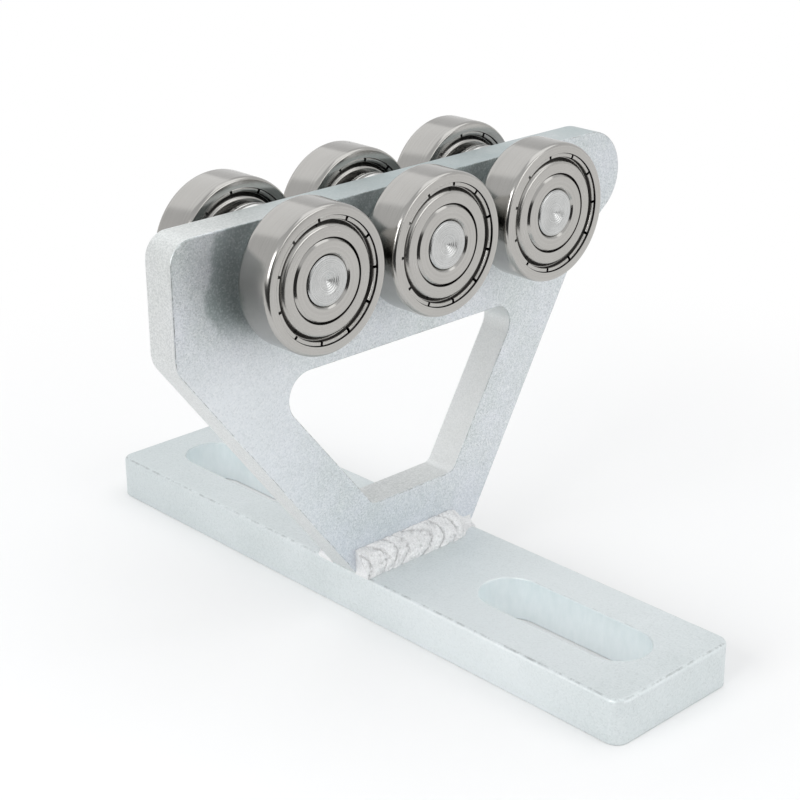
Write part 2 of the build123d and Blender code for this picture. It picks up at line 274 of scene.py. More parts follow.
# %% The dark shape round the camera, and a white backdrop for the camera alone
SHAPE_RISE = math.radians(7)
SHAPE_CORE = math.radians(14)
SHAPE_RIM = math.radians(23)

shape_way = (
    math.sin(CAMERA_AZIMUTH) * math.cos(SHAPE_RISE),
    -math.cos(CAMERA_AZIMUTH) * math.cos(SHAPE_RISE),
    math.sin(SHAPE_RISE),
)
towards_shape = add_node(tree, "ShaderNodeVectorMath", operation="DOT_PRODUCT")
in_order(tree, towards_shape, where["Generated"], shape_way)
shape_share = spread(
    tree, towards_shape.outputs["Value"], math.cos(SHAPE_RIM), math.cos(SHAPE_CORE), 0.0, 1.0
)
with_shape = colour_between(tree, shape_share, half_room, (0.04, 0.04, 0.04, 1.0))
room_light = fed_node(tree, "ShaderNodeBackground", Color=with_shape, Strength=ROOM_STRENGTH)
backdrop = fed_node(tree, "ShaderNodeBackground", Color=(1.0, 1.0, 1.0, 1.0))
camera_ray = add_node(tree, "ShaderNodeLightPath").outputs["Is Camera Ray"]
choose = add_node(tree, "ShaderNodeMixShader")
choose = in_order(tree, choose, camera_ray, room_light.outputs[0], backdrop.outputs[0])
fed_node(tree, "ShaderNodeOutputWorld", Surface=choose)
print("nodes in the world", len(tree.nodes))

# %% Soft panels
LAMPS_LOOK_AT = Vector((0.0, 0.0, 0.05))
LAMPS = (
    ("lamp_overhead", (0.10, 0.20, 0.70), 0.60, 0.9),
    ("lamp_left", (0.05, -0.64, 0.34), 0.36, 1.75),
    ("lamp_right", (0.62, 0.20, 0.24), 0.40, 0.7),
    ("lamp_back", (-0.46, 0.02, 0.54), 0.60, 0.48),
)
for lamp_name, stands, size, power in LAMPS:
    light = bpy.data.lights.new(lamp_name, "AREA")
    light.shape = "SQUARE"
    light.size = size
    light.energy = power
    lamp = bpy.data.objects.new(lamp_name, light)
    lamp.location = stands
    lamp.rotation_euler = (Vector(stands) - LAMPS_LOOK_AT).to_track_quat("Z", "Y").to_euler()
    scene.collection.objects.link(lamp)
print("lamps", len(LAMPS))

# %% [markdown]
# ## Grain of zinc plating
# Blasted and zinc-plated steel is pale, cold and slightly sandy: tiny crystals catch the light one by
# one, and the thin zinc film clouds in patches. A photograph of such a surface could be wrapped round
# the plates, but it would need unwrapping and would show its seams. Small cells with a shade of their
# own make the sand, and a wide noise makes the clouds, in the piece's own space. Every plated part uses
# the same effect, so it is one node group.

# %% Group: zinc grain
zinc_grain, grain_in, grain_out = new_group(
    "zinc_grain", (("Grain Size", 0.25), ("Cloud Size", 12.0)), ("Height", "Glint", "Pit", "Cloud")
)
place = own_place(zinc_grain)
per_metre = calculate(zinc_grain, "DIVIDE", 1.0 / MM, grain_in["Grain Size"])
fine = noise(zinc_grain, place, per_metre, 2.0, 0.7)
cells = fed_node(zinc_grain, "ShaderNodeTexVoronoi", Vector=place, Scale=per_metre, Randomness=1.0)
cloud_scale = calculate(zinc_grain, "DIVIDE", 1.0 / MM, grain_in["Cloud Size"])
clouds = noise(zinc_grain, place, cloud_scale, 5.0, 0.6)
shade = fed_node(zinc_grain, "ShaderNodeTexWhiteNoise", Vector=cells.outputs["Position"]).outputs["Value"]
glint = spread(zinc_grain, shade, 0.55, 1.0, 0.0, 1.0)
pit = spread(zinc_grain, shade, 0.0, 0.35, 1.0, 0.0)
pit = product(zinc_grain, pit, spread(zinc_grain, fine, 0.4, 0.6, 0.2, 1.0))
height = calculate(zinc_grain, "SUBTRACT", fine, product(zinc_grain, pit, 0.3))
feed(zinc_grain, grain_out, Height=height, Glint=glint, Pit=pit, Cloud=clouds)
print("zinc grain nodes", len(zinc_grain.nodes))

# %% [markdown]
# ## Painted shade on the arrises
# Along a rounded arris a fine broken dark line is painted, as the shade of the burr there. It could be
# painted on by hand. A face looks straight along one axis and the arris looks between two, so the part
# of the normal along that axis finds every line by itself, and a noise breaks it up.

# %% Group: painted shade line along an arris
arris_line, line_in, line_out = new_group("arris_line", (("Facing", 1.0), ("Break Size", 3.0)), ("Mask",))
turned_from = calculate(arris_line, "ABSOLUTE", line_in["Facing"])
leaving = spread(arris_line, turned_from, 0.62, 0.80, 0.0, 1.0)
arriving = spread(arris_line, turned_from, 0.93, 0.985, 1.0, 0.0)
break_scale = calculate(arris_line, "DIVIDE", 1.0 / MM, line_in["Break Size"])
breaks = noise(arris_line, own_place(arris_line), break_scale, 4.0, 0.7)
broken = spread(arris_line, breaks, 0.42, 0.62, 0.0, 1.0)
feed(arris_line, line_out, Mask=product(arris_line, leaving, arriving, broken))
print("arris line nodes", len(arris_line.nodes))


# %% Helpers: a sandy zinc colour, gloss and bump, and where a point faces and lies
def zinc_layer(tree, shader, dark, light, grain_size, cloud_size, glint, pit, bump, rough_low, rough_high):
    """Feeds a shader's gloss and normal and returns its colour and its cloud value."""
    grain = place_group(tree, zinc_grain, Grain_Size=grain_size, Cloud_Size=cloud_size)
    cloud = spread(tree, grain.outputs["Cloud"], 0.32, 0.68, 0.0, 1.0)
    colour = colour_between(tree, cloud, dark, light)
    bright = product(tree, grain.outputs["Glint"], glint)
    colour = colour_between(tree, bright, colour, (0.95, 0.96, 0.97, 1))
    deep = product(tree, grain.outputs["Pit"], pit)
    colour = colour_between(tree, deep, colour, (0.20, 0.22, 0.22, 1))
    height = grain.outputs["Height"]
    raised = fed_node(tree, "ShaderNodeBump", Height=height, Strength=bump, Distance=0.05 * MM)
    gloss = spread(tree, height, 0.25, 0.75, rough_low, rough_high)
    feed(tree, shader, Roughness=gloss, Normal=raised.outputs["Normal"])
    return colour, cloud


def facing(tree):
    """The normal's three parts and the place's three parts, in the piece's own frame."""
    coordinates = add_node(tree, "ShaderNodeTexCoord").outputs
    return parts_of(tree, coordinates["Normal"]), parts_of(tree, coordinates["Object"])


finishes = {}
sockets = [len(group.interface.items_tree) for group in (zinc_grain, arris_line)]
print("sockets of the two zinc groups", sockets)

# %% [markdown]
# ## The base plate's finish
# The base is smoother than the upright. Its slots were punched, which leaves upright streaks on their
# walls, and the walls are painted lighter, as painted bounce light for the paper's light that they pass
# between them. The walls could be picked out as faces with a material of their own. Here the place and
# the normal find them, so the imported solid is left as it came.

# %% Base plate: the zinc, darker at the left end and brighter round the right slot
material, tree, shader = new_material("zinc_base")
colour, cloud = zinc_layer(
    tree, shader, dark=(0.665, 0.715, 0.720, 1), light=(0.725, 0.770, 0.780, 1), grain_size=0.35,
    cloud_size=20.0, glint=0.14, pit=0.16, bump=0.30, rough_low=0.45, rough_high=0.58,
)
shader.inputs["Metallic"].default_value = 0.55
normal_part, place_part = facing(tree)
darker_end = spread_mm(tree, place_part["X"], -75, -20, 0.20, 0.0)
colour = colour_between(tree, darker_end, colour, (0.36, 0.42, 0.43, 1))
RIGHT_SLOT_X = 42
from_slot = calculate(tree, "ABSOLUTE", calculate(tree, "SUBTRACT", place_part["X"], RIGHT_SLOT_X * MM))
brighter_place = spread_mm(tree, from_slot, 8, 36, 0.42, 0.0)
colour = colour_between(tree, brighter_place, colour, (0.86, 0.90, 0.91, 1))
print(material.name, "nodes so far", len(tree.nodes))

# %% Base plate: streaks and painted bounce light on the slot walls, and painted shade on the outer arrises
SLOT_HALF_WIDTH = 7.05
SLOTS_END = 72.5
upright_wall = spread(tree, calculate(tree, "ABSOLUTE", normal_part["Z"]), 0.2, 0.4, 1.0, 0.0)
aside = calculate(tree, "ABSOLUTE", place_part["Y"])
in_slot = spread_mm(tree, aside, SLOT_HALF_WIDTH, SLOT_HALF_WIDTH + 0.15, 1.0, 0.0)
outwards = calculate(tree, "ABSOLUTE", place_part["X"])
inside = spread_mm(tree, outwards, SLOTS_END, SLOTS_END + 0.5, 1.0, 0.0)
wall_mask = product(tree, upright_wall, in_slot, inside)
flattened = fed_node(
    tree, "ShaderNodeCombineXYZ", X=place_part["X"], Y=place_part["Y"], Z=product(tree, place_part["Z"], 0.3)
)
streaks = noise(tree, flattened.outputs[0], 0.9 / MM, 4.0, 0.6)
streak_share = spread(tree, streaks, 0.3, 0.7, 0.0, 0.35)
# Painted bounce light: the slot walls are painted lighter than the top, most of all low down, besides their
# real streaks.
low_wall_bounce = spread_mm(tree, place_part["Z"], 3, 11, 0.65, 0.0)
streak_and_bounce_share = calculate(tree, "ADD", streak_share, low_wall_bounce)
streak_and_bounce_colour = colour_between(tree, streak_and_bounce_share, (0.76, 0.83, 0.84, 1), (0.93, 0.97, 0.98, 1))
colour = colour_between(tree, wall_mask, colour, streak_and_bounce_colour)
# Painted shade: a fine broken dark line along the base's outer arrises, the shade of the burr.
line = place_group(tree, arris_line, Facing=normal_part["Z"], Break_Size=2.2)
off_slot = calculate(tree, "SUBTRACT", 1.0, product(tree, in_slot, inside))
arris_shade = product(tree, line.outputs["Mask"], off_slot, 0.55)
feed(tree, shader, Base_Color=colour_between(tree, arris_shade, colour, (0.26, 0.27, 0.27, 1)))
finishes["base_plate"] = material
print(material.name, "nodes", len(tree.nodes))

# %% [markdown]
# ## The upright's finish
# The upright was cut to its outline, blasted and plated, so it is sandier than the base. The cut edge
# is coarser and a little yellow, and it turns smoother and greener along the top towards the nose, where
# the faces that look up also carry painted shade.
# Beside the rollers lies a dark, greenish painted shade and reflection of the rollers. All of this could
# be painted on an image, but shares that follow the distance from the axles, the height and the normal
# stay sharp close up.

# %% Upright plate: zinc that is paler under the axles, with a bluish painted shade at the foot
material, tree, shader = new_material("zinc_upright")
colour, cloud = zinc_layer(
    tree, shader, dark=(0.615, 0.665, 0.665, 1), light=(0.715, 0.745, 0.790, 1), grain_size=0.24,
    cloud_size=13.0, glint=0.42, pit=0.40, bump=0.55, rough_low=0.38, rough_high=0.58,
)
shader.inputs["Metallic"].default_value = 0.65
normal_part, place_part = facing(tree)
under_axles = spread_mm(tree, place_part["Z"], 60, 74, 1.0, 0.0)
at_heel = spread_mm(tree, place_part["Y"], -48, -18, 0.90, 0.0)
colour = colour_between(tree, product(tree, under_axles, at_heel), colour, (0.83, 0.86, 0.89, 1))
# Painted shade: the foot of the plate is darker and bluish.
foot_shade_share = spread_mm(tree, place_part["Z"], 13, 27, 0.50, 0.0)
colour = colour_between(tree, foot_shade_share, colour, (0.58, 0.63, 0.70, 1))
coarse = place_group(tree, zinc_grain, Grain_Size=0.33, Cloud_Size=2.0)
dull = product(tree, coarse.outputs["Pit"], 0.20)
colour = colour_between(tree, dull, colour, (0.30, 0.34, 0.35, 1))
spark = product(tree, coarse.outputs["Glint"], 0.28)
colour = colour_between(tree, spark, colour, (0.97, 0.98, 0.99, 1))
print(material.name, "nodes so far", len(tree.nodes))

# %% Upright plate: painted shade and reflection of the rollers round the axles
# Painted shade and reflection: a dark greenish patch round the rollers on the plate's face, with light
# specks.
nearest_y = calculate(tree, "MAXIMUM", place_part["Y"], axle_centres["rear"].y)
beside = calculate(tree, "SUBTRACT", place_part["Y"], nearest_y)
above = calculate(tree, "SUBTRACT", place_part["Z"], axle_centres["rear"].z)
ragged = calculate(tree, "MULTIPLY_ADD", cloud, 4.0 * MM, span(tree, beside, above))
in_roller_shade = spread_mm(tree, ragged, 19.8, 21.5, 1.0, 0.0)
high_up = spread_mm(tree, place_part["Z"], 70, 77, 0.0, 1.0)
before_nose = spread_mm(tree, place_part["Y"], 32, 38, 0.66, 0.10)
speck = product(tree, coarse.outputs["Glint"], 0.42)
roller_shade_colour = colour_between(tree, speck, (0.235, 0.295, 0.295, 1), (0.66, 0.72, 0.72, 1))
colour = colour_between(tree, product(tree, in_roller_shade, high_up, before_nose), colour, roller_shade_colour)
print(material.name, "nodes so far", len(tree.nodes))

# %% Upright plate: the cut edge, painted light in the window, and painted shade on its arris
sand = spread(tree, noise(tree, own_place(tree), 2.6 / MM, 4.0, 0.75), 0.38, 0.62, 0.0, 1.0)
edge_colour = colour_between(tree, sand, (0.58, 0.595, 0.585, 1), (0.82, 0.83, 0.82, 1))
# Painted light: the wall inside the window, under the axles, is painted paler.
window_wall_light = product(tree, under_axles, spread_mm(tree, place_part["Y"], 0, 14, 0.0, 0.55))
edge_colour = colour_between(tree, window_wall_light, edge_colour, (0.95, 0.96, 0.95, 1))
# Partly painted shade: the faces that look up along the top towards the nose are darker, and greener in tone.
towards_nose = spread_mm(tree, place_part["Y"], -48, -22, 0.0, 1.0)
looks_up = spread(tree, normal_part["Z"], 0.5, 0.9, 0.0, 1.0)
on_top = spread_mm(tree, place_part["Z"], 80, 82, 0.0, 1.0)
worn_and_shaded = spread(tree, cloud, 0.0, 1.0, 0.95, 0.55)
green_and_shade_share = product(tree, towards_nose, looks_up, on_top, worn_and_shaded)
edge_colour = colour_between(tree, green_and_shade_share, edge_colour, (0.44, 0.51, 0.52, 1))
cut_edge = spread(tree, calculate(tree, "ABSOLUTE", normal_part["X"]), 0.3, 0.6, 1.0, 0.0)
colour = colour_between(tree, product(tree, cut_edge, 0.75), colour, edge_colour)
# Painted shade: a fine broken dark line along the upright's arrises, the shade of the burr.
line = place_group(tree, arris_line, Facing=normal_part["X"], Break_Size=1.6)
arris_shade = product(tree, line.outputs["Mask"], 0.8)
feed(tree, shader, Base_Color=colour_between(tree, arris_shade, colour, (0.24, 0.24, 0.22, 1)))
finishes["upright_plate"] = material
print(material.name, "nodes", len(tree.nodes))

# %% [markdown]
# ## The welds' finish
# Weld metal is whiter and duller than the plates, and soot and shadow stay in the crevices where one
# crescent ends on the next. The tree that shapes the bead, further down, stores where those crevices
# are as an attribute of the mesh, and the material reads it, so colour and shape can't drift apart.

# %% Weld metal
material, tree, shader = new_material("zinc_weld")
colour, cloud = zinc_layer(
    tree, shader, dark=(0.72, 0.725, 0.73, 1), light=(0.85, 0.855, 0.86, 1), grain_size=0.24,
    cloud_size=3.0, glint=0.4, pit=0.22, bump=0.6, rough_low=0.45, rough_high=0.65,
)
shader.inputs["Metallic"].default_value = 0.35
crevice = add_node(tree, "ShaderNodeAttribute", attribute_name="crevice")
depth_share = product(tree, crevice.outputs["Fac"], 0.62)
feed(tree, shader, Base_Color=colour_between(tree, depth_share, colour, (0.30, 0.30, 0.30, 1)))
finishes["weld"] = material
print(material.name, "nodes", len(tree.nodes))

# %% [markdown]
# ## Polished and turned steel
# Bearing rings are ground, which leaves lines round the axis too fine to see one by one. They widen
# the reflections along the axis. Painted shade darkens the narrow gaps round each shield and axle.
# An anisotropic shader could widen the reflections, but it needs a tangent on every piece. Lines and
# painted shade that follow the distance from the nearest axle need none. The three axles are evenly
# spaced, so one group wraps the length along the rail round to the nearest one and measures from there.

# %% Group: distance from the nearest axle and from a bearing's middle
AXLE_PITCH = axle_centres["middle"].y - axle_centres["rear"].y
BEARING_OFFSET = middle_of("middle_right_outer_ring").x - axle_centres["middle"].x
axle_polar, polar_in, polar_out = new_group(
    "axle_polar",
    (
        ("Pitch", AXLE_PITCH), ("Centre Y", axle_centres["middle"].y), ("Centre Z", axle_centres["middle"].z),
        ("Upright X", axle_centres["middle"].x), ("Bearing X", BEARING_OFFSET),
    ),
    ("Radius", "Along", "Depth"),
)
place_part = parts_of(axle_polar, own_place(axle_polar))
half_pitch = product(axle_polar, polar_in["Pitch"], 0.5)
upper = calculate(axle_polar, "ADD", polar_in["Centre Y"], half_pitch)
lower = calculate(axle_polar, "SUBTRACT", polar_in["Centre Y"], half_pitch)
wrapped = calculate(axle_polar, "WRAP", place_part["Y"], upper, lower)
from_y = calculate(axle_polar, "SUBTRACT", wrapped, polar_in["Centre Y"])
from_z = calculate(axle_polar, "SUBTRACT", place_part["Z"], polar_in["Centre Z"])
off_upright = calculate(axle_polar, "SUBTRACT", place_part["X"], polar_in["Upright X"])
from_upright = calculate(axle_polar, "ABSOLUTE", off_upright)
off_bearing = calculate(axle_polar, "SUBTRACT", from_upright, polar_in["Bearing X"])
depth = calculate(axle_polar, "ABSOLUTE", off_bearing)
feed(axle_polar, polar_out, Radius=span(axle_polar, from_y, from_z), Along=place_part["X"], Depth=depth)
print("axle pitch", round(AXLE_PITCH / MM, 2), "mm, bearing offset", round(BEARING_OFFSET / MM, 2), "mm")


# %% Helper: a ground, pressed or turned steel
def steel_finish(name, dark, light, rough_low, rough_high, line_width, bump, patches, shade_and_dull_bands=()):
    """Fine lines round the axle, faint patches, and dark ring-shaped bands: painted shade in the gaps, and a
    slightly darker, dulled rolling face.

    Each band is (radius where the darkening is none, where it is full, depth where it is none, where it is
    full, strength), in millimetres from the axle and from the bearing's middle."""
    material, tree, shader = new_material(name)
    polar = place_group(tree, axle_polar).outputs
    rings = calculate(tree, "ADD", polar["Radius"], polar["Along"])
    lines = add_node(tree, "ShaderNodeTexNoise", noise_dimensions="1D")
    feed(tree, lines, W=rings, Scale=1.0 / (line_width * MM), Detail=4.0, Roughness=0.7)
    line_height = lines.outputs["Fac"]
    patch = noise(tree, own_place(tree), 1.0 / (patches * MM), 3.0)
    mixed = calculate(tree, "MULTIPLY_ADD", line_height, 0.6, product(tree, patch, 0.4))
    raised = fed_node(tree, "ShaderNodeBump", Height=line_height, Strength=bump, Distance=0.02 * MM)
    colour = colour_between(tree, spread(tree, mixed, 0.35, 0.65, 0.0, 1.0), dark, light)
    # Painted shade darkens the gaps between parts; the rolling-face band only darkens the ring's own tone.
    for radius_none, radius_full, depth_none, depth_full, strength in shade_and_dull_bands:
        in_ring = spread_mm(tree, polar["Radius"], radius_none, radius_full, 0.0, 1.0)
        sunk = spread_mm(tree, polar["Depth"], depth_full, depth_none, 1.0, 0.0)
        colour = colour_between(tree, product(tree, in_ring, sunk, strength), colour, (0.02, 0.02, 0.02, 1))
    gloss = spread(tree, mixed, 0.35, 0.65, rough_low, rough_high)
    feed(tree, shader, Base_Color=colour, Metallic=1.0, Roughness=gloss, Normal=raised.outputs["Normal"])
    print(name, "nodes", len(tree.nodes))
    return material


# %% Steel finishes
# Dark bands: painted shade in the gaps round the shields, inner rings and axles, and a dulled rolling face.
GAP_SHADE = 0.93
ROLLING_DULLNESS = 0.09
RING_DARK = (0.44, 0.43, 0.41, 1)
RING_LIGHT = (0.49, 0.48, 0.46, 1)
INNER_RING_RIM = (8.36, 8.395, 4.60, 4.55, GAP_SHADE)
ROUND_THE_AXLE = (5.16, 5.08, 4.60, 4.55, GAP_SHADE)
SHIELD_SEAT = (12.93, 12.87, 4.495, 4.46, GAP_SHADE)
ROLLING_FACE = (14.6, 14.95, 4.60, 4.55, ROLLING_DULLNESS)
SHIELD_TROUGH = (11.80, 11.90, 4.12, 3.95, GAP_SHADE)
SHIELD_BORE = (8.60, 8.56, 4.30, 4.26, GAP_SHADE)

finishes["bearing"] = steel_finish(
    "ground_ring_steel", RING_DARK, RING_LIGHT,
    rough_low=0.15, rough_high=0.21, line_width=0.5, bump=0.05, patches=9.0,
    shade_and_dull_bands=(INNER_RING_RIM, ROUND_THE_AXLE),
)
finishes["outer_ring"] = steel_finish(
    "ground_outer_ring_steel", RING_DARK, RING_LIGHT,
    rough_low=0.15, rough_high=0.21, line_width=0.5, bump=0.05, patches=9.0,
    shade_and_dull_bands=(SHIELD_SEAT, ROLLING_FACE),
)
finishes["shield"] = steel_finish(
    "pressed_shield_steel", RING_DARK, RING_LIGHT,
    rough_low=0.20, rough_high=0.28, line_width=0.5, bump=0.12, patches=5.0,
    shade_and_dull_bands=(SHIELD_TROUGH, SHIELD_BORE),
)
finishes["axle"] = steel_finish(
    "turned_axle_steel", (0.46, 0.465, 0.46, 1), (0.62, 0.625, 0.62, 1),
    rough_low=0.18, rough_high=0.34, line_width=0.30, bump=0.5, patches=3.0,
)
finishes["spacer"] = steel_finish(
    "turned_collar_steel", (0.55, 0.55, 0.54, 1), (0.68, 0.68, 0.67, 1),
    rough_low=0.16, rough_high=0.28, line_width=0.6, bump=0.4, patches=5.0,
)
finishes["cage"] = steel_finish(
    "pressed_cage_steel", (0.34, 0.33, 0.31, 1), (0.46, 0.45, 0.43, 1),
    rough_low=0.28, rough_high=0.4, line_width=0.8, bump=0.2, patches=3.0,
)

# %% [markdown]
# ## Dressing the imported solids
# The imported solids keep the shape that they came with, and only their material changes. Their names
# say what each is, so a list of words and finishes is enough, and the first word that fits wins.

# %% Put each finish on its solids
def finish_node(name, material):
    """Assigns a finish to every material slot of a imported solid."""
    for slot in nodes[name].material_slots:
        slot.material = material


FINISH_OF = (
    ("outer_ring", "outer_ring"), ("inner_ring", "bearing"), ("balls", "bearing"), ("shield", "shield"),
    ("axle", "axle"), ("spacer", "spacer"), ("cage", "cage"), ("weld", "weld"),
    ("base_plate", "base_plate"), ("upright_plate", "upright_plate"),
)
for node_name in nodes:
    finish_node(node_name, next(finishes[key] for word, key in FINISH_OF if word in node_name))
print("finished solids", len(nodes))

# %% [markdown]
# ## Pieces that go round an axle
# A pressed shield repeats the same crimped tab eleven times, and a turned axle end is one profile
# taken round its axis. A Spin or a Screw could turn a profile, but not a row of tabs. Here both are one
# narrow sector, made point by point from a profile, which a small node tree copies round the axis and
# joins. Changing one number changes every copy.

# %% Node tree: copies of a sector round an axis
def new_geometry_tree(name, inputs):
    """A tree from mesh to mesh with further inputs (name, kind). Returns it, what it is given, its end."""
    tree = bpy.data.node_groups.new(name, "GeometryNodeTree")
    for socket_name, kind in (("Geometry", "Geometry"), *inputs, ("Material", "Material")):
        tree.interface.new_socket(socket_name, in_out="INPUT", socket_type=f"NodeSocket{kind}")
    tree.interface.new_socket("Geometry", in_out="OUTPUT", socket_type="NodeSocketGeometry")
    return tree, tree.nodes.new("NodeGroupInput").outputs, tree.nodes.new("NodeGroupOutput")


round_axis, ask, give = new_geometry_tree(
    "round_axis", (("Count", "Int"), ("Centre", "Vector"), ("Facing", "Float"), ("Turn", "Float"))
)
points = fed_node(round_axis, "GeometryNodePoints", Count=ask["Count"])
number = add_node(round_axis, "GeometryNodeInputIndex")
step_angle = calculate(round_axis, "DIVIDE", math.tau, ask["Count"])
angle = calculate(round_axis, "MULTIPLY_ADD", number.outputs[0], step_angle, ask["Turn"])
spin = fed_node(round_axis, "ShaderNodeCombineXYZ", X=angle)
copies = fed_node(
    round_axis, "GeometryNodeInstanceOnPoints",
    Points=points.outputs[0], Instance=ask["Geometry"], Rotation=spin.outputs[0],
)
whole = fed_node(round_axis, "GeometryNodeRealizeInstances", Geometry=copies.outputs[0])
joined = fed_node(round_axis, "GeometryNodeMergeByDistance", Geometry=whole.outputs[0], Distance=0.001 * MM)
face_way = fed_node(round_axis, "ShaderNodeCombineXYZ", Z=ask["Facing"])
moved = fed_node(
    round_axis, "GeometryNodeTransform",
    Geometry=joined.outputs[0], Rotation=face_way.outputs[0], Translation=ask["Centre"],
)
dressed = fed_node(round_axis, "GeometryNodeSetMaterial", Geometry=moved.outputs[0], Material=ask["Material"])
feed(round_axis, give, Geometry=dressed.outputs[0])
print("nodes in the tree", len(round_axis.nodes))


# %% Helpers for meshes made with nodes
SHARP_ANGLE = math.radians(38)


def mesh_from(name, points, faces):
    """A smooth mesh with its sharp edges marked."""
    mesh = bpy.data.meshes.new(name)
    mesh.from_pydata(points, [], faces)
    solid = bmesh.new()
    solid.from_mesh(mesh)
    bmesh.ops.remove_doubles(solid, verts=solid.verts, dist=0.0005 * MM)
    for face in solid.faces:
        face.smooth = True
    for edge in solid.edges:
        edge.smooth = not (len(edge.link_faces) == 2 and edge.calc_face_angle() > SHARP_ANGLE)
    solid.to_mesh(mesh)
    solid.free()
    return mesh


print("edges are sharp above", round(math.degrees(SHARP_ANGLE)), "degrees")


# %% Helper: run a node tree and keep a plain mesh
def run_nodes(name, mesh, tree, **values):
    """Runs a node tree on a mesh and returns the result as an object with a plain mesh."""
    source = bpy.data.objects.new(f"{name}_source", mesh)
    scene.collection.objects.link(source)
    modifier = source.modifiers.new("nodes", "NODES")
    modifier.node_group = tree
    for item in tree.interface.items_tree:
        key = getattr(item, "name", "").replace(" ", "_")
        if item.item_type == "SOCKET" and item.in_out == "INPUT" and key in values:
            modifier[item.identifier] = values[key]
    shaped = source.evaluated_get(bpy.context.evaluated_depsgraph_get())
    result = bpy.data.meshes.new_from_object(shaped)
    result.name = name
    source.modifiers.remove(modifier)
    bpy.data.objects.remove(source)
    piece = bpy.data.objects.new(name, result)
    scene.collection.objects.link(piece)
    return piece


def outward(piece):
    """Turns a closed mesh's faces outwards and returns its volume in mm3 and its open edges."""
    solid = bmesh.new()
    solid.from_mesh(piece.data)
    if solid.calc_volume(signed=True) < 0:
        bmesh.ops.reverse_faces(solid, faces=solid.faces)
        solid.to_mesh(piece.data)
    volume = solid.calc_volume() / MM**3
    open_edges = sum(1 for edge in solid.edges if len(edge.link_faces) != 2)
    solid.free()
    return round(volume, 1), open_edges


def sector(name, sections, closed):
    """A strip of faces between neighbouring sections. A section is (angle, [(axial, radial), ...]) in mm."""
    points, faces = [], []
    rows = len(sections[0][1])
    for angle, profile in sections:
        for axial, radial in profile:
            points.append((axial * MM, radial * MM * math.cos(angle), radial * MM * math.sin(angle)))
    for column in range(len(sections) - 1):
        for row in range(rows if closed else rows - 1):
            following = (row + 1) % rows
            first, second = column * rows, (column + 1) * rows
            faces.append((first + row, first + following, second + following, second + row))
    return mesh_from(name, points, faces)


print("helpers", [helper.__name__ for helper in (mesh_from, run_nodes, outward, sector)])

# %% [markdown]
# ## Turned axle ends
# The axle's end is faced on a lathe, so the tool leaves rings that are bold near the middle and faint
# towards the rim, and a centre drill leaves a small cone. A bump texture could draw the rings, but it
# would be lost in the exported mesh. A wavy profile gives real ones, which catch the light as a fan.

# %% Axles
AXLE_RADIUS = 4.99
AXLE_HALF = (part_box("middle_axle")[1][0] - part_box("middle_axle")[0][0]) / 2 / MM
DISH_RADIUS = 2.9
DISH_DEPTH = 0.62
RING_STEP = 0.44
BOLD_RING = 0.040
FAINT_RING = 0.008
FACE_RADIUS = AXLE_RADIUS - 0.32
FACE_STEPS = 64
AXLE_SECTORS = 80


def axle_profile():
    """Profile of the axle from the middle of one end to the middle of the other."""
    end = []
    for step in range(FACE_STEPS + 1):
        radius = FACE_RADIUS * step / FACE_STEPS
        dish = DISH_DEPTH * max(0.0, 1.0 - radius / DISH_RADIUS) ** 1.4
        bold = 1.0 / (1.0 + math.exp((radius - DISH_RADIUS) * 5.0))
        ring = FAINT_RING + (BOLD_RING - FAINT_RING) * bold
        uneven = 0.25 * math.sin(radius * 5.1) + 0.2 * math.sin(radius * 11.7)
        wave = 0.5 - 0.5 * math.cos(math.tau * radius / RING_STEP + uneven)
        end.append((AXLE_HALF - 0.005 - dish - ring * wave, radius))
    end += [(AXLE_HALF - 0.03, AXLE_RADIUS - 0.25), (AXLE_HALF - 0.28, AXLE_RADIUS)]
    return end + [(-axial, radial) for axial, radial in reversed(end)]


profile = axle_profile()
wedge = [(0.0, profile), (math.tau / AXLE_SECTORS, profile)]
for name in AXLE_NAMES:
    slice_mesh = sector(f"{name}_axle_slice", wedge, closed=False)
    axle = run_nodes(
        f"{name}_turned_axle", slice_mesh, round_axis,
        Count=AXLE_SECTORS, Centre=axle_centres[name], Facing=0.0, Turn=0.0, Material=finishes["axle"],
    )
    print(axle.name, "volume and open edges", outward(axle), "faces", len(axle.data.polygons))
    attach(axle, "frame")
    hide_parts(f"{name}_axle")

# %% [markdown]
# ## Outer rings
# The ring's rim edge isn't a plain round: it runs further along the rolling face than across the end.
# That long soft edge is what gives a bearing its bright and dark streaks. A Bevel modifier makes the
# same width on both sides of an edge, so the rings are turned from a profile of their own, with their
# shield seats and the ball track.

# %% Outer rings
RIM_RADIUS = 14.99
RIM_HALF = 4.5
EDGE_ACROSS = 0.62
EDGE_ALONG = 1.15
SEAT_RADIUS = 12.85
SHOULDER_RADIUS = 12.0
SEAT_FLOOR = 3.35
TRACK_RADIUS = 2.476
TRACK_CENTRE = 9.925
EDGE_STEPS = 8
TRACK_STEPS = 5
RING_SECTORS = 120


def half_ring():
    """Half of the outer ring's section, from its middle outside to the middle of its ball track."""
    points = [(0.0, RIM_RADIUS)]
    for step in range(EDGE_STEPS + 1):
        angle = math.pi / 2 * step / EDGE_STEPS
        axial = RIM_HALF - EDGE_ALONG * (1 - math.sin(angle))
        radial = RIM_RADIUS - EDGE_ACROSS * (1 - math.cos(angle))
        points.append((axial, radial))
    points += [(RIM_HALF, SEAT_RADIUS + 0.04), (RIM_HALF - 0.04, SEAT_RADIUS), (SEAT_FLOOR, SEAT_RADIUS)]
    points.append((SEAT_FLOOR, SHOULDER_RADIUS))
    edge = math.asin((SHOULDER_RADIUS - TRACK_CENTRE) / TRACK_RADIUS)
    for step in range(TRACK_STEPS + 1):
        angle = edge + (math.pi / 2 - edge) * step / TRACK_STEPS
        points.append((TRACK_RADIUS * math.cos(angle), TRACK_CENTRE + TRACK_RADIUS * math.sin(angle)))
    return points


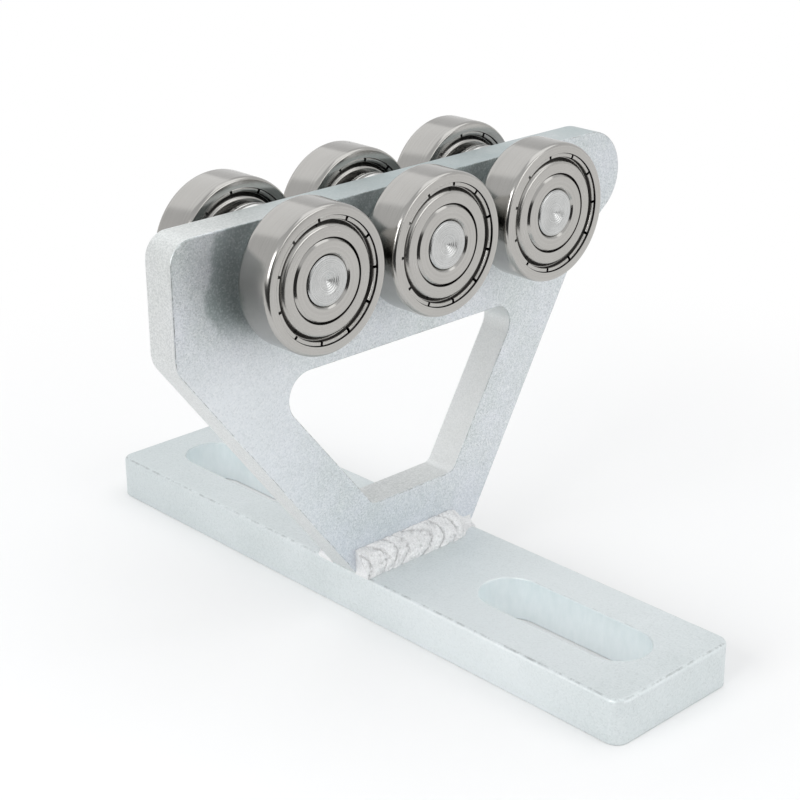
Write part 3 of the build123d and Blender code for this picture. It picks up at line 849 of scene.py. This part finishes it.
half = half_ring()
ring_profile = half + [(-axial, radial) for axial, radial in reversed(half[1:-1])]
ring_wedge = [(0.0, ring_profile), (math.tau / RING_SECTORS, ring_profile)]
ring_slice = sector("ring_slice", ring_wedge, closed=True)
for axle_name in AXLE_NAMES:
    for side_name in SIDE_SIGNS:
        prefix = f"{axle_name}_{side_name}"
        ring = run_nodes(
            f"{prefix}_ground_outer_ring", ring_slice.copy(), round_axis,
            Count=RING_SECTORS, Centre=middle_of(f"{prefix}_outer_ring"), Facing=0.0, Turn=0.0,
            Material=finishes["outer_ring"],
        )
        made = outward(ring)
        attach(ring, f"{prefix}_roller")
        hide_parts(f"{prefix}_outer_ring")
print("an outer ring's volume in mm3 and open edges", made, "faces", len(ring.data.polygons))

# %% [markdown]
# ## Pressed and crimped shields
# Each bearing is closed by a thin pressed disc. Its flat part stops just short of the inner ring, it
# dips into a deep trough, and its rim is crimped into the outer ring as a row of tabs with a notch
# between each two. The notches could be cut out of a turned disc, at the price of untidy faces. One tab
# with half a notch on each side is the sector, and the tree makes eleven.

# %% Shields
TAB_COUNT = 11
TAB_STEPS = 10
NOTCH_HALF_ANGLE = 0.26 / 12.3
FACE = 4.5
TAB_TOP = FACE - 0.28
NOTCH_TOP = FACE - 0.98


def shield_profile(lip_top):
    """Closed section of the shield, round from its bore over the outside and back underneath."""
    outside = [
        (FACE - 0.70, 8.55), (FACE - 0.28, 8.55), (FACE - 0.21, 8.59), (FACE - 0.20, 8.66),
        (FACE - 0.20, 10.45), (FACE - 0.22, 10.68), (FACE - 0.28, 10.86), (FACE - 0.40, 11.00),
        (FACE - 0.62, 11.16), (FACE - 0.85, 11.32), (FACE - 1.08, 11.50), (FACE - 1.22, 11.64),
        (FACE - 1.30, 11.76), (FACE - 1.28, 11.86), (FACE - 1.12, 11.93),
    ]
    lip = [
        (lip_top - 0.10, 11.98), (lip_top - 0.02, 12.03), (lip_top, 12.10), (lip_top, 12.62),
        (lip_top - 0.04, 12.76), (lip_top - 0.14, 12.83),
    ]
    underneath = [
        (FACE - 1.13, 12.83), (FACE - 1.13, 11.98), (FACE - 1.50, 11.93), (FACE - 1.58, 11.80),
        (FACE - 1.56, 11.60), (FACE - 1.35, 11.25), (FACE - 0.50, 10.72), (FACE - 0.50, 8.85),
        (FACE - 0.70, 8.85),
    ]
    return outside + lip + underneath


tab_angle = math.tau / TAB_COUNT
cuts = [(0.0, NOTCH_TOP), (NOTCH_HALF_ANGLE * 0.9, NOTCH_TOP), (NOTCH_HALF_ANGLE * 1.15, TAB_TOP)]
for step in range(1, TAB_STEPS):
    cuts.append((tab_angle * step / TAB_STEPS, TAB_TOP))
cuts += [(tab_angle - angle, top) for angle, top in reversed(cuts[:3])]
shield_slice = sector("shield_slice", [(angle, shield_profile(top)) for angle, top in cuts], closed=True)

for axle_name in AXLE_NAMES:
    for side_name, side in SIDE_SIGNS.items():
        prefix = f"{axle_name}_{side_name}"
        for face_name, facing_sign in (("outer", side), ("inner", -side)):
            shield = run_nodes(
                f"{prefix}_crimped_shield_{face_name}", shield_slice.copy(), round_axis,
                Count=TAB_COUNT, Centre=middle_of(f"{prefix}_outer_ring"),
                Facing=0.0 if facing_sign > 0 else math.pi,
                Turn=tab_angle / 2 if axle_name == "middle" else 0.0, Material=finishes["shield"],
            )
            made = outward(shield)
            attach(shield, f"{prefix}_roller")
            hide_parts(f"{prefix}_shield_{face_name}")
print("a shield's volume in mm3 and open edges", made, "faces", len(shield.data.polygons))

# %% [markdown]
# ## Weld
# The plate is held by a bead along each foot. The bead is laid in small pushes, and each push leaves a
# crescent that lies over the one before. It could be sculpted. Here it is a tube with a fillet's
# section, made point by point, and a node tree lifts its skin by the crescents, by a rough noise and by
# a fine grit. One seed for each side keeps the two beads different, and the same in each run.

# %% Node tree for a bead: where each crescent lies
bead_skin, ask, give = new_geometry_tree("bead_skin", (
    ("Ripple Pitch", "Float"), ("Ripple Height", "Float"), ("Crescent Depth", "Float"),
    ("Rough Height", "Float"), ("Grit Height", "Float"), ("Seed", "Float"),
))


def named(attribute):
    """A number that each point of the bead's tube carries."""
    node = add_node(bead_skin, "GeometryNodeInputNamedAttribute", data_type="FLOAT")
    return feed(bead_skin, node, Name=attribute).outputs["Attribute"]


def seeded_noise(scale, detail, roughness=0.5):
    """A noise over the bead, in cells per millimetre, that the seed shifts."""
    node = add_node(bead_skin, "ShaderNodeTexNoise", noise_dimensions="4D")
    feed(bead_skin, node, W=ask["Seed"], Scale=scale / MM, Detail=detail, Roughness=roughness)
    return node.outputs["Fac"]


along, across, skin = named("along"), named("across"), named("skin")
wander = seeded_noise(0.13, 0.0)
jitter = seeded_noise(0.8, 4.0, 0.65)
centred = calculate(bead_skin, "MULTIPLY_ADD", across, 2.0, -1.0)
arch = calculate(bead_skin, "SUBTRACT", 1.0, product(bead_skin, centred, centred))
bow = product(bead_skin, arch, ask["Crescent Depth"])
shifted = calculate(bead_skin, "SUBTRACT", along, bow)
phase = calculate(bead_skin, "DIVIDE", shifted, ask["Ripple Pitch"])
phase = calculate(bead_skin, "MULTIPLY_ADD", wander, 2.0, phase)
phase = calculate(bead_skin, "MULTIPLY_ADD", jitter, 0.85, phase)
saw = calculate(bead_skin, "FRACT", phase)
off_middle = calculate(bead_skin, "ABSOLUTE", calculate(bead_skin, "MULTIPLY_ADD", saw, 2.0, -1.0))
print("nodes so far", len(bead_skin.nodes))

# %% Node tree for a bead: how high the skin is, and where it is dark
pillow = calculate(bead_skin, "SUBTRACT", 1.0, calculate(bead_skin, "POWER", off_middle, 4.0))
lean = calculate(bead_skin, "MULTIPLY_ADD", saw, -0.35, 1.0)
ripple = product(bead_skin, pillow, lean, ask["Ripple Height"])
coarse = seeded_noise(1.1, 4.0, 0.62)
toe = calculate(bead_skin, "MULTIPLY_ADD", arch, -0.5, 1.2)
rough = product(bead_skin, calculate(bead_skin, "SUBTRACT", coarse, 0.5), toe, ask["Rough Height"])
fine = seeded_noise(2.6, 3.0, 0.6)
grit = product(bead_skin, calculate(bead_skin, "SUBTRACT", fine, 0.5), ask["Grit Height"])
height = calculate(bead_skin, "ADD", calculate(bead_skin, "ADD", ripple, rough), grit)
valley = spread(bead_skin, off_middle, 0.80, 0.98, 0.0, 1.0)
patchy = spread(bead_skin, jitter, 0.42, 0.57, 0.05, 1.0)
valley_dark = product(bead_skin, valley, patchy)
hollow_dark = product(bead_skin, spread(bead_skin, coarse, 0.32, 0.44, 1.0, 0.0), 0.7)
dark_place = calculate(bead_skin, "MAXIMUM", valley_dark, hollow_dark)
print("nodes so far", len(bead_skin.nodes))

# %% Node tree for a bead: store the dark places and push the skin out
keep = add_node(bead_skin, "GeometryNodeStoreNamedAttribute", data_type="FLOAT", domain="POINT")
feed(bead_skin, keep, Geometry=ask["Geometry"], Name="crevice", Value=product(bead_skin, dark_place, skin))
push = add_node(bead_skin, "ShaderNodeVectorMath", operation="SCALE")
normal = add_node(bead_skin, "GeometryNodeInputNormal").outputs[0]
feed(bead_skin, push, Vector=normal, Scale=product(bead_skin, height, skin))
shape = fed_node(bead_skin, "GeometryNodeSetPosition", Geometry=keep.outputs[0], Offset=push.outputs[0])
dressed = fed_node(bead_skin, "GeometryNodeSetMaterial", Geometry=shape.outputs[0], Material=ask["Material"])
feed(bead_skin, give, Geometry=dressed.outputs[0])
print("nodes in the tree", len(bead_skin.nodes))

# %% Bead sections and both welds
FOOT_LEG = 3.7
WALL_LEG = 5.4
BULGE = 0.75
SINK = 0.3
SECTION_STEPS = 50
BEAD_STEP = 0.12
END_FROM = 10.5
END_RUN = 5.5
END_LEG_SHARE = 0.42
END_BULGE = -0.55
END_SMOOTHING = 0.85


def into_end(along_mm):
    """How far a place is into the bead's end on the nose side, from 0 to 1."""
    part = min(1.0, max(0.0, (along_mm - END_FROM) / END_RUN))
    return part * part * (3 - 2 * part)


def bead_section(into):
    """The bead's section in (out, up) millimetres from the corner of the two plates.

    It keeps one size until it nears the nose end, where it dies away into a small hollow fillet."""
    share = 1.0 - (1.0 - END_LEG_SHARE) * into
    bulge = BULGE + (END_BULGE - BULGE) * into
    chord = math.hypot(FOOT_LEG, WALL_LEG)
    rows = [(share * FOOT_LEG + 0.1, -SINK)]
    for step in range(SECTION_STEPS + 1):
        part = step / SECTION_STEPS
        swell = bulge * 4 * part * (1 - part)
        rows.append((
            share * FOOT_LEG * (1 - part) + swell * WALL_LEG / chord,
            share * WALL_LEG * part + swell * FOOT_LEG / chord,
        ))
    return rows + [(-SINK, share * WALL_LEG + 0.1), (-SINK, -SINK)]


def weld_mesh(name, side):
    """The plain tube for one weld, with where each point is along and across it."""
    wall = upright_high[0] if side > 0 else upright_low[0]
    start, end = base_low[1] / MM, base_high[1] / MM
    count = int((end - start) / BEAD_STEP)
    points, faces, marks = [], [], []
    rows = SECTION_STEPS + 4
    for column in range(count + 1):
        place = start + (end - start) * column / count
        into = into_end(place)
        for row, (out, up) in enumerate(bead_section(into)):
            points.append((wall + side * out * MM, place * MM, base_top + up * MM))
            on_skin = 1 <= row <= SECTION_STEPS + 1
            lifted = 1.0 - END_SMOOTHING * into if on_skin else 0.0
            marks.append((place * MM, min(1.0, max(0.0, (row - 1) / SECTION_STEPS)), lifted))
        if column:
            for row in range(rows):
                first, second, following = (column - 1) * rows, column * rows, (row + 1) % rows
                faces.append((first + row, second + row, second + following, first + following))
    faces.append(tuple(range(rows)))
    faces.append(tuple(range(count * rows, (count + 1) * rows)))
    mesh = bpy.data.meshes.new(name)
    mesh.from_pydata(points, [], faces)
    for index, attribute in enumerate(("along", "across", "skin")):
        data = mesh.attributes.new(attribute, "FLOAT", "POINT").data
        data.foreach_set("value", [mark[index] for mark in marks])
    solid = bmesh.new()
    solid.from_mesh(mesh)
    bmesh.ops.recalc_face_normals(solid, faces=solid.faces)
    for face in solid.faces:
        face.smooth = len(face.verts) == 4
    solid.to_mesh(mesh)
    solid.free()
    return mesh


for side_name, side in SIDE_SIGNS.items():
    bead = run_nodes(
        f"weld_crescents_{side_name}", weld_mesh(f"weld_tube_{side_name}", side), bead_skin,
        Ripple_Pitch=4.2 * MM, Ripple_Height=0.50 * MM, Crescent_Depth=2.6 * MM, Rough_Height=1.05 * MM,
        Grit_Height=0.62 * MM, Seed=3.0 + side, Material=finishes["weld"],
    )
    print(bead.name, "volume and open edges", outward(bead), "faces", len(bead.data.polygons))
    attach(bead, "frame")
    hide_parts(f"weld_bead_{side_name}")

# %% [markdown]
# ## The paper
# The trolley stands on a sweep of white paper. A shadow catcher would give the shadow alone, but the
# polished rings and the slots also mirror the paper, so it is a real plane, whose near end lies a
# short way in front of the trolley. Its own grey shows only close to the trolley, and further out it
# fades to pure white, as an overexposed backdrop does.

# %% Floor: the plane, and its near end
PAPER_NEAR_END = 0.165
PAPER_HALF = 3.0
PAPER_GAP = 0.02

toward = Vector((math.sin(CAMERA_AZIMUTH), -math.cos(CAMERA_AZIMUTH), 0.0))
sideways = Vector((math.cos(CAMERA_AZIMUTH), math.sin(CAMERA_AZIMUTH), 0.0))
under = Vector((0.0, 0.0, base_low[2] - PAPER_GAP * MM))
near_edge = under + toward * PAPER_NEAR_END
far_edge = under - toward * PAPER_HALF
floor_corners = [
    far_edge - sideways * PAPER_HALF,
    near_edge - sideways * PAPER_HALF,
    near_edge + sideways * PAPER_HALF,
    far_edge + sideways * PAPER_HALF,
]
floor_mesh = bpy.data.meshes.new("floor")
floor_mesh.from_pydata(floor_corners, [], [(0, 1, 2, 3)])
floor = bpy.data.objects.new("floor", floor_mesh)
scene.collection.objects.link(floor)
print("the paper lies", PAPER_GAP, "mm under the base and ends", PAPER_NEAR_END, "m towards the camera")

# %% Floor: paper that fades to white
PAPER_GREY = 0.85
PAPER_GLOW = 0.055
FADE_FROM = 0.09
FADE_TO = 0.23

floor_material, floor_tree, floor_shader = new_material("white_paper")
feed(
    floor_tree, floor_shader,
    Base_Color=(PAPER_GREY, PAPER_GREY, PAPER_GREY, 1.0), Roughness=0.9, Specular_IOR_Level=0.1,
)
rays = add_node(floor_tree, "ShaderNodeLightPath").outputs
seen_share = calculate(floor_tree, "MAXIMUM", rays["Is Camera Ray"], rays["Is Glossy Ray"])
paper_glow = fed_node(floor_tree, "ShaderNodeEmission", Strength=product(floor_tree, seen_share, PAPER_GLOW))
both = add_node(floor_tree, "ShaderNodeAddShader")
both = in_order(floor_tree, both, floor_shader.outputs[0], paper_glow.outputs[0])
distance = add_node(floor_tree, "ShaderNodeVectorMath", operation="LENGTH")
feed(floor_tree, distance, Vector=own_place(floor_tree))
fade = add_node(floor_tree, "ShaderNodeMapRange", interpolation_type="SMOOTHSTEP")
feed(floor_tree, fade, Value=distance.outputs["Value"], From_Min=FADE_FROM, From_Max=FADE_TO)
far_seen = product(floor_tree, fade.outputs["Result"], seen_share)
white = add_node(floor_tree, "ShaderNodeEmission")
last = add_node(floor_tree, "ShaderNodeMixShader")
last = in_order(floor_tree, last, far_seen, both, white.outputs[0])
feed(floor_tree, floor_tree.nodes["Material Output"], Surface=last)
floor_mesh.materials.append(floor_material)
print("nodes of the paper", len(floor_tree.nodes))
